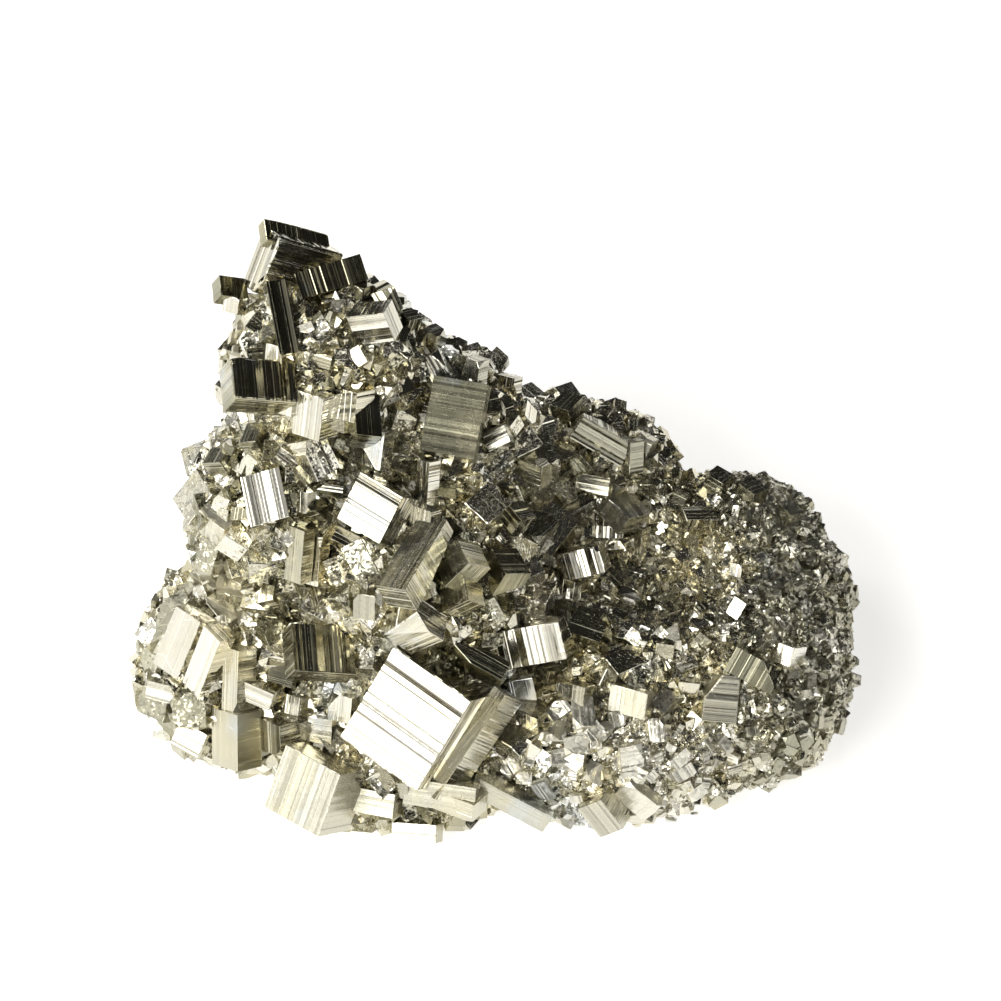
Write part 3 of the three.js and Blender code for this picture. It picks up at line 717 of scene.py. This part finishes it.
def makeBrokenPlates(material, screens):
    # chips of the matrix that lie along the surface, where it is broken and not crystalline
    settings = {
        "seed": 7313, "tries": 9000, "templates": 12, "sides": (0.8, 1.4), "thickness": 0.5,
        "corners": (4, 8), "spacing": 0.3, "step": 0.03, "edgeWidth": 0.02, "size": (1, 3.3),
        "sizePower": 1.5, "lean": 0.35, "clear": 0.3, "apart": 0.24, "outlineReach": 0.6,
        "outlineShare": 0.5, "tone": (0.4, 1), "dull": (0.15, 0.7), "linedPower": 0.8,
        "elsewhere": 0.22,
    }
    stream, templates, piece, taken = startScatter(settings)
    for _ in range(settings["tries"]):
        point, normal, buried = surfaceSpot(stream)
        size = drawnSize(stream, settings["size"], settings["sizePower"])
        lean = [between(stream, -settings["lean"], settings["lean"]) for _ in range(2)]
        spin = math.tau * next(stream)
        template = pick(stream, templates)
        finish = randomFinish(settings, stream)
        share = max(brokenShare(point), settings["elsewhere"] if normal.dot(outward) < 0 else 0)
        if buried or next(stream) > share:
            continue
        size = shrunkAtEnd(point, size)
        if showsPastOutline(point, settings["outlineReach"] * size):
            size *= settings["outlineShare"]
        if not isFree(settings, screens, taken, point, size):
            continue
        taken.append((point, size))
        turn = normal.to_track_quat("Z", "Y").to_matrix() @ Euler((lean[0], lean[1], spin)).to_matrix()
        addCopy(piece, template, turn, point, size, *darkenedAtEnds(point, finish))
    return finishPiece(piece, "broken_plates", material)


def workedOut(shape):  # the shape's mesh after its modifiers, for which the shape itself is given up
    evaluated = shape.evaluated_get(bpy.context.evaluated_depsgraph_get())
    bm = bmesh.new()
    bm.from_mesh(evaluated.to_mesh())
    evaluated.to_mesh_clear()
    bpy.data.objects.remove(shape)
    return bm


def makeMass(material):
    settings = {
        "grid": 0.5, "inset": 0.5, "grain": 0.8, "relief": 0.6, "bulge": 0.35, "fine": 2.4,
        "fineRelief": 0.14, "finish": (-0.8, 0.5, 0), "ball": 5,
    }
    bm = bmesh.new()
    for centre, radii in lumps:
        place = Matrix.Translation(centre) @ Matrix.Diagonal([r - settings["inset"] for r in radii] + [1])
        bmesh.ops.create_icosphere(bm, subdivisions=settings["ball"], radius=1, matrix=place)
    shape = bpy.data.objects.new("mass", asMesh(bm, "mass"))
    intoScene(shape)
    remesh = shape.modifiers.new("grid", "REMESH")
    remesh.mode = "VOXEL"
    remesh.voxel_size = settings["grid"]
    bm = workedOut(shape)
    middle, radii = Vector(hollow[0]), Vector(hollow[1])
    for vert in bm.verts:  # press the dip in, then raise angular grains
        local = divided(vert.co - middle, radii)
        if local.length < 1:
            vert.co = middle + Vector([d * r for d, r in zip(local.normalized(), radii)])
    bm.normal_update()
    for vert in bm.verts:
        distances, centres = noise.voronoi(vert.co * settings["grain"])
        height = noise.cell(centres[0] * grainShuffle) * settings["relief"] - settings["bulge"] * distances[0]
        fine = noise.voronoi(vert.co * settings["fine"])[0][0] * settings["fineRelief"]
        vert.co += vert.normal * (height - fine)
    # the mass is toned dark: painted shade where it shows in the crevices between the crystals
    layers = [bm.verts.layers.float.new(label) for label in finishLabels]
    for vert in bm.verts:
        for layer, value in zip(layers, settings["finish"]):
            vert[layer] = value
    return finishPiece(bm, "granular_mass", material)


def makeGrains():  # a few cut cubes for the druse to copy
    settings = {"seed": 88, "count": 8, "sides": (0.7, 1.3), "corners": (2, 5), "depth": (0.1, 0.4)}
    stream = randomStream(settings["seed"])
    family = bpy.data.collections.new("grains")
    for index in range(settings["count"]):
        lengths = [between(stream, *settings["sides"]), between(stream, *settings["sides"]), 1]
        corners = int(between(stream, *settings["corners"]))
        bm = cutBlock(lengths, corners, settings["depth"], stream)
        bm.normal_update()
        addLinesMap(bm, stream)
        bmesh.ops.scale(bm, vec=[millimetre] * 3, verts=bm.verts)
        name = "grain%d" % index
        family.objects.link(bpy.data.objects.new(name, asMesh(bm, name)))
    return family


def removeGrains(family):
    for grain in list(family.objects):
        bpy.data.objects.remove(grain)
    bpy.data.collections.remove(family)


def feed(tree, socket, value):  # a socket takes a link or a plain value
    if isinstance(value, bpy.types.NodeSocket):
        tree.links.new(value, socket)
    else:
        socket.default_value = value


def placeNode(tree, kind, values, **options):
    node = tree.nodes.new(kind)
    for label, option in options.items():
        setattr(node, label, option)
    for label, value in values.items():
        feed(tree, node.inputs[label], value)
    return node


def randomValue(tree, low, high, seed):
    node = placeNode(tree, "FunctionNodeRandomValue", {2: low, 3: high, "Seed": seed}, data_type="FLOAT")
    return node.outputs[1]


def anyTurn(tree, seed):
    angles = placeNode(
        tree, "FunctionNodeRandomValue", {1: (math.tau, math.tau, math.tau), "Seed": seed},
        data_type="FLOAT_VECTOR",
    )
    return placeNode(tree, "FunctionNodeEulerToRotation", {0: angles.outputs[0]}).outputs[0]


def makeDruse(name, mass, material, grains, settings):
    tree = bpy.data.node_groups.new(name, "GeometryNodeTree")
    for direction in ("INPUT", "OUTPUT"):
        tree.interface.new_socket(name="Geometry", in_out=direction, socket_type="NodeSocketGeometry")
    seed = settings["seed"]
    surface = tree.nodes.new("NodeGroupInput").outputs[0]
    cover = placeNode(tree, "GeometryNodeInputNamedAttribute", {"Name": settings["cover"]}, data_type="FLOAT")
    spots = placeNode(tree, "GeometryNodeDistributePointsOnFaces", {}, distribute_method="POISSON")
    spacing = {
        "Mesh": surface, "Distance Min": settings["gap"] * millimetre,
        "Density Max": settings["density"] / millimetre**2, "Density Factor": cover.outputs["Attribute"],
        "Seed": seed,
    }
    for label, value in spacing.items():
        feed(tree, spots.inputs[label], value)
    family = placeNode(
        tree, "GeometryNodeCollectionInfo",
        {"Collection": grains, "Separate Children": True, "Reset Children": True},
    )
    copies = placeNode(tree, "GeometryNodeInstanceOnPoints", {
        "Points": spots.outputs["Points"], "Instance": family.outputs[0], "Pick Instance": True,
        "Rotation": anyTurn(tree, seed + 1), "Scale": randomValue(tree, *settings["size"], seed + 2),
    })
    tone = randomValue(tree, *settings["tone"], seed + 3)
    toned = placeNode(
        tree, "GeometryNodeStoreNamedAttribute",
        {"Geometry": copies.outputs[0], "Name": "tone"}, data_type="FLOAT", domain="INSTANCE",
    )
    feed(tree, toned.inputs["Value"], tone)
    realized = placeNode(tree, "GeometryNodeRealizeInstances", {"Geometry": toned.outputs[0]})
    feed(tree, tree.nodes.new("NodeGroupOutput").inputs[0], realized.outputs[0])
    carrier = bpy.data.objects.new(name + "_carrier", mass.data.copy())
    intoScene(carrier)
    carrier.modifiers.new("druse", "NODES").node_group = tree
    bm = workedOut(carrier)
    bmesh.ops.scale(bm, vec=[1 / millimetre] * 3, verts=bm.verts)
    return finishPiece(bm, name, material)


def markCover(mass, screens):  # where the two druses grow, and how dull and pale the mass is
    settings = {
        "lobe": (0, 5), "cut": (0.3, 1.2), "dullEnd": (18, 28), "dull": (0.05, 0.7), "onBroken": 0.8,
        "brokenTone": 1.4, "coverReach": -0.3,
    }
    labels = ("fineCover", "coarseCover", "dull", "tone")
    for label in labels[:2]:
        mass.data.attributes.new(label, "FLOAT", "POINT")
    fine, coarse, dull, tone = [mass.data.attributes[label] for label in labels]
    low, high = settings["dull"]
    for vert in mass.data.vertices:
        place = vert.co / millimetre
        broken = brokenShare(place)
        cover = smoothStep(place.z, *settings["cut"]) * (1 - settings["onBroken"] * broken)
        if place.z > 0 and isCovering(screens, place, settings["coverReach"]):
            cover = 0
        onLobe = smoothStep(place.x, *settings["lobe"])
        fine.data[vert.index].value = cover * onLobe
        coarse.data[vert.index].value = cover * (1 - onLobe)
        tone.data[vert.index].value += settings["brokenTone"] * broken
        dull.data[vert.index].value = low + (high - low) * smoothStep(place.x, *settings["dullEnd"])


def mathNode(tree, operation, first, second):
    return placeNode(tree, "ShaderNodeMath", {0: first, 1: second}, operation=operation).outputs[0]


def vectorMath(tree, operation, first, second):
    return placeNode(tree, "ShaderNodeVectorMath", {0: first, 1: second}, operation=operation)


def rangeNode(tree, value, fromLow, fromHigh, toLow, toHigh):
    limits = {"Value": value, "From Min": fromLow, "From Max": fromHigh, "To Min": toLow, "To Max": toHigh}
    return placeNode(tree, "ShaderNodeMapRange", limits).outputs["Result"]


def mixColours(tree, factor, first, second):
    node = placeNode(tree, "ShaderNodeMix", {}, data_type="RGBA")
    for label, value in (("Factor", factor), (6, first), (7, second)):
        feed(tree, node.inputs[label], value)
    return node.outputs[2]


def newGroup(name, inputs, outputs):
    tree = bpy.data.node_groups.new(name, "ShaderNodeTree")
    for label, kind in inputs.items():
        tree.interface.new_socket(name=label, in_out="INPUT", socket_type=kind)
    for label in outputs:
        tree.interface.new_socket(name=label, in_out="OUTPUT", socket_type="NodeSocketFloat")
    return tree, tree.nodes.new("NodeGroupInput"), tree.nodes.new("NodeGroupOutput")


striationBands = ((1, 1), (3.7, 0.8))  # two sets of bands: how many to one, how far they lean
bandSparseness = 5  # the higher, the fewer lines are dark


def striationGroup():
    # bands across the first axis of the map, each tilted its own way
    sockets = {"Map": "NodeSocketVector", "Lines per mm": "NodeSocketFloat", "Tilt": "NodeSocketFloat"}
    tree, given, result = newGroup("striationLines", sockets, ("Height", "Band"))
    parts = placeNode(tree, "ShaderNodeSeparateXYZ", {"Vector": given.outputs["Map"]})
    lines = mathNode(tree, "MULTIPLY", parts.outputs["X"], given.outputs["Lines per mm"])
    heights, bands = [], []
    for density, share in striationBands:
        position = mathNode(tree, "MULTIPLY", lines, density)
        cells = placeNode(tree, "ShaderNodeTexVoronoi", {}, voronoi_dimensions="1D")
        feed(tree, cells.inputs["W"], position)
        feed(tree, cells.inputs["Scale"], 1)
        shade = placeNode(tree, "ShaderNodeSeparateColor", {"Color": cells.outputs["Color"]})
        fromMiddle = mathNode(tree, "SUBTRACT", position, cells.outputs["W"])
        lean = rangeNode(tree, shade.outputs[0], 0, 1, -1, 1)
        lean = mathNode(tree, "MULTIPLY", lean, mathNode(tree, "MULTIPLY", lean, lean))  # a few lean far
        rise = mathNode(tree, "MULTIPLY", fromMiddle, lean)
        rise = mathNode(tree, "DIVIDE", rise, given.outputs["Lines per mm"])
        heights.append(mathNode(tree, "MULTIPLY", rise, share * millimetre / density))
        bands.append(mathNode(tree, "POWER", shade.outputs[1], bandSparseness))
    height = mathNode(tree, "ADD", *heights)
    feed(tree, result.inputs["Height"], mathNode(tree, "MULTIPLY", height, given.outputs["Tilt"]))
    feed(tree, result.inputs["Band"], mathNode(tree, "MAXIMUM", *bands))
    return tree


facetSizes = (1, 2.6)  # how fine the two sets of facets are, next to each other


def facetGroup():
    # broken grains: each cell of the surface is tilted its own way, at two sizes
    sockets = {"Place": "NodeSocketVector", "Scale": "NodeSocketFloat", "Tilt": "NodeSocketFloat"}
    tree, given, result = newGroup("brokenFacets", sockets, ("Height", "Cell"))
    rises = []
    for factor in facetSizes:
        scale = mathNode(tree, "MULTIPLY", given.outputs["Scale"], factor)
        cells = placeNode(tree, "ShaderNodeTexVoronoi", {"Vector": given.outputs["Place"], "Scale": scale})
        fromMiddle = vectorMath(tree, "SUBTRACT", given.outputs["Place"], cells.outputs["Position"])
        lean = vectorMath(tree, "SUBTRACT", cells.outputs["Color"], (0.5, 0.5, 0.5))
        rise = vectorMath(tree, "DOT_PRODUCT", fromMiddle.outputs[0], lean.outputs[0])
        rises.append(rise.outputs["Value"])
    shade = placeNode(tree, "ShaderNodeSeparateColor", {"Color": cells.outputs["Color"]})
    height = mathNode(tree, "ADD", *rises)
    feed(tree, result.inputs["Height"], mathNode(tree, "MULTIPLY", height, given.outputs["Tilt"]))
    feed(tree, result.inputs["Cell"], shade.outputs[2])
    return tree


# patches of colour, specks and a bluish bloom: how fine each is, and where it starts and is full
tarnishLayers = {"Patch": (1, 0.45, 0.65), "Speck": (9, 0.58, 0.7), "Bloom": (0.7, 0.6, 0.7)}
tarnishScale = 180  # clouds to a metre
tarnishDetail = 3


def tarnishGroup():
    tree, given, result = newGroup("tarnishPatches", {"Place": "NodeSocketVector"}, tarnishLayers)
    for label, (factor, low, high) in tarnishLayers.items():
        clouds = placeNode(tree, "ShaderNodeTexNoise", {
            "Vector": given.outputs["Place"], "Scale": tarnishScale * factor, "Detail": tarnishDetail,
        })
        feed(tree, result.inputs[label], rangeNode(tree, clouds.outputs["Fac"], low, high, 0, 1))
    return tree


def pyriteMaterial(name, groups, settings):
    material = bpy.data.materials.new(name)
    material.use_nodes = True
    tree = material.node_tree
    shader = tree.nodes["Principled BSDF"]
    place = tree.nodes.new("ShaderNodeTexCoord").outputs["Object"]
    lines = placeNode(tree, "ShaderNodeUVMap", {}, uv_map="lines")
    tone, dull, lined = [
        placeNode(tree, "ShaderNodeAttribute", {}, attribute_name=label).outputs["Fac"]
        for label in finishLabels
    ]

    def times(first, second):
        return mathNode(tree, "MULTIPLY", first, second)

    striae = placeNode(tree, "ShaderNodeGroup", {}, node_tree=groups["striation"])
    facets = placeNode(tree, "ShaderNodeGroup", {}, node_tree=groups["facet"])
    tarnish = placeNode(tree, "ShaderNodeGroup", {}, node_tree=groups["tarnish"])
    feed(tree, striae.inputs["Map"], lines.outputs[0])
    feed(tree, striae.inputs["Lines per mm"], settings["linesPerMm"])
    feed(tree, striae.inputs["Tilt"], times(lined, settings["tilt"]))
    feed(tree, facets.inputs["Place"], place)
    feed(tree, facets.inputs["Scale"], settings["facetScale"])
    feed(tree, facets.inputs["Tilt"], rangeNode(tree, dull, 0, 1, *settings["facetTilt"]))
    feed(tree, tarnish.inputs["Place"], place)

    # the colour runs from deep to pale with the tone, which carries painted light and shade as well as each
    # crystal's own tone
    colour = mixColours(tree, rangeNode(tree, tone, -1, 1, 0, 1), settings["deep"], settings["pale"])
    worn = mathNode(tree, "POWER", dull, settings["wornPower"])
    for share, tint in (
        (times(tarnish.outputs["Patch"], settings["patchShare"]), "brass"),
        (times(tarnish.outputs["Bloom"], settings["bloomShare"]), "blue"),
        (times(worn, settings["wornShare"]), "worn"),
        (times(striae.outputs["Band"], times(lined, settings["banding"])), "shadow"),
    ):
        colour = mixColours(tree, share, colour, settings[tint])

    rough = rangeNode(tree, dull, 0, 1, *settings["roughness"])
    rough = mathNode(tree, "ADD", rough, times(tarnish.outputs["Speck"], settings["speckRoughness"]))
    rough = mathNode(tree, "ADD", rough, times(facets.outputs["Cell"], settings["cellRoughness"]))
    height = mathNode(tree, "ADD", striae.outputs["Height"], facets.outputs["Height"])
    bump = placeNode(tree, "ShaderNodeBump", {"Strength": 1, "Distance": 1, "Height": height})
    looks = {"Metallic": 1, "Base Color": colour, "Roughness": rough, "Normal": bump.outputs["Normal"]}
    for label, value in looks.items():
        feed(tree, shader.inputs[label], value)
    return material


def makeMaterials():
    groups = {"striation": striationGroup(), "facet": facetGroup(), "tarnish": tarnishGroup()}
    shared = {
        # deep and pale are the two ends of the tone; deep is also the painted shade of the dark mass between
        # the crystals
        "deep": (0.29, 0.278, 0.19, 1), "pale": (0.88, 0.85, 0.74, 1), "brass": (0.74, 0.67, 0.45, 1),
        "blue": (0.6, 0.65, 0.7, 1), "shadow": (0.12, 0.115, 0.09, 1), "patchShare": 0.4, "bloomShare": 0.5,
        "speckRoughness": 0.08, "worn": (0.43, 0.415, 0.315, 1), "wornShare": 0.9, "wornPower": 3,
    }
    looks = {
        "large": {
            "linesPerMm": 1.5, "tilt": 1, "banding": 0.7, "roughness": (0.08, 0.4),
            "facetScale": 500, "facetTilt": (0, 0.02), "cellRoughness": 0.05,
        },
        "small": {
            "linesPerMm": 3, "tilt": 0.9, "banding": 0.7, "roughness": (0.06, 0.28),
            "facetScale": 1700, "facetTilt": (0, 0.6), "cellRoughness": 0.06,
        },
        "plate": {
            "linesPerMm": 2.5, "tilt": 1.2, "banding": 0.15, "roughness": (0.22, 0.42),
            "facetScale": 1500, "facetTilt": (0.05, 0.3), "cellRoughness": 0.1,
        },
        "grain": {
            "linesPerMm": 3, "tilt": 0.3, "banding": 0.3, "roughness": (0.06, 0.4),
            "facetScale": 1500, "facetTilt": (0.05, 1.1), "cellRoughness": 0.1,
        },
        "mass": {
            "linesPerMm": 1, "tilt": 0, "banding": 0, "roughness": (0.08, 0.4),
            "facetScale": 1500, "facetTilt": (0.4, 1.3), "cellRoughness": 0.2,
        },
    }
    return {key: pyriteMaterial("pyrite_" + key, groups, {**shared, **look}) for key, look in looks.items()}


def makeStage():
    settings = {
        "reach": 3, "paper": (0.78, 0.775, 0.76, 1), "roughness": 0.9, "glowColour": (1, 0.995, 0.98, 1),
        "glow": 0.68,
    }
    bm = bmesh.new()
    bmesh.ops.create_grid(bm, x_segments=1, y_segments=1, size=settings["reach"])
    floor = bpy.data.objects.new("floor", asMesh(bm, "floor"))
    material = bpy.data.materials.new("lit_paper")  # lit from below a little, as on a light table
    material.use_nodes = True
    shader = material.node_tree.nodes["Principled BSDF"]
    shader.inputs["Base Color"].default_value = settings["paper"]
    shader.inputs["Roughness"].default_value = settings["roughness"]
    shader.inputs["Emission Color"].default_value = settings["glowColour"]
    shader.inputs["Emission Strength"].default_value = settings["glow"]
    floor.data.materials.append(material)
    intoScene(floor)


def makeWorld():
    # pale low down on the left, dim above and to the right, so that faces turned up stay dark
    settings = {
        "side": (-0.8, -0.5, -0.2), "colour": (1, 0.99, 0.96, 1), "bright": 1.15, "dim": 0.025,
        "fadeFrom": -0.15, "fadeTo": 0.75,
    }
    world = bpy.data.worlds.new("tent")
    world.use_nodes = True
    tree = world.node_tree
    direction = tree.nodes.new("ShaderNodeTexCoord").outputs["Generated"]
    lean = vectorMath(tree, "DOT_PRODUCT", direction, settings["side"]).outputs["Value"]
    limits = [settings[label] for label in ("fadeFrom", "fadeTo", "dim", "bright")]
    background = tree.nodes["Background"]
    feed(tree, background.inputs["Color"], settings["colour"])
    feed(tree, background.inputs["Strength"], rangeNode(tree, lean, *limits))
    bpy.context.scene.world = world


# soft lights around the specimen: direction, distance and size in metres, power
softboxes = {
    "key_left": ((-0.62, -0.55, 0.62), 0.8, (0.6, 0.5), 4.8),
    "back_left": ((-0.75, 0.5, 0.7), 1, (0.4, 0.3), 2.2),
    "right_strip": ((0.95, -0.25, 0.35), 1, (0.12, 0.4), 0.25),
    "front_right": ((0.4, -0.8, 0.45), 1, (0.5, 0.3), 0.8),
}
lightTarget = Vector((0, 0, 0.015))  # metres


def makeSoftbox(name, direction, distance, size, power):
    light = bpy.data.lights.new(name, "AREA")
    light.shape = "RECTANGLE"
    light.size, light.size_y = size
    light.energy = power
    lamp = bpy.data.objects.new(name, light)
    towards = Vector(direction).normalized()
    lamp.location = lightTarget + towards * distance
    lamp.rotation_euler = (-towards).to_track_quat("-Z", "Y").to_euler()
    intoScene(lamp)


def makeCamera():
    settings = {
        "lens": 300, "sensor": 36, "viewWidth": 96.1, "across": 0.5, "up": 15.4, "out": 11.5,
        "clip": (0.01, 20),
    }
    camera = bpy.data.cameras.new("camera")
    camera.lens = settings["lens"]
    camera.sensor_width = settings["sensor"]
    camera.clip_start, camera.clip_end = settings["clip"]
    distance = settings["viewWidth"] * settings["lens"] / settings["sensor"]
    target = onPlane(settings["across"], settings["up"]) + outward * settings["out"]
    viewer = bpy.data.objects.new("camera", camera)
    viewer.location = (target + outward * distance) * millimetre
    viewer.rotation_euler = (math.pi / 2 - displayTilt, 0, 0)
    intoScene(viewer)
    bpy.context.scene.camera = viewer


makeCamera()
makeStage()
makeWorld()
for name, settings in softboxes.items():
    makeSoftbox(name, *settings)
bpy.context.scene.view_settings.view_transform = "Standard"
print("stage: camera, floor and light")

materials = makeMaterials()
mass = makeMass(materials["mass"])
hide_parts(clusterNode)
screens = makeScreens()
markCover(mass, screens)
print("stage: mass")

makeLargeCrystals(materials["large"])
makeMediumCrystals(materials["large"])
makeGrownCrystals(materials["small"], screens)
makeInfillCrystals(materials["small"], screens)
makeBrokenPlates(materials["plate"], screens)
print("stage: crystals")

grains = makeGrains()
druses = {
    "fine_druse": {
        "cover": "fineCover", "gap": 0.55, "density": 3, "seed": 3, "size": (0.6, 1.7), "tone": (-0.5, 1)
    },
    "coarse_druse": {
        "cover": "coarseCover", "gap": 0.8, "density": 1.4, "seed": 9, "size": (0.8, 2.3), "tone": (-1, 0.8)
    },
}
for name, settings in druses.items():
    makeDruse(name, mass, materials["grain"], grains, settings)
removeGrains(grains)
print("stage: druse")
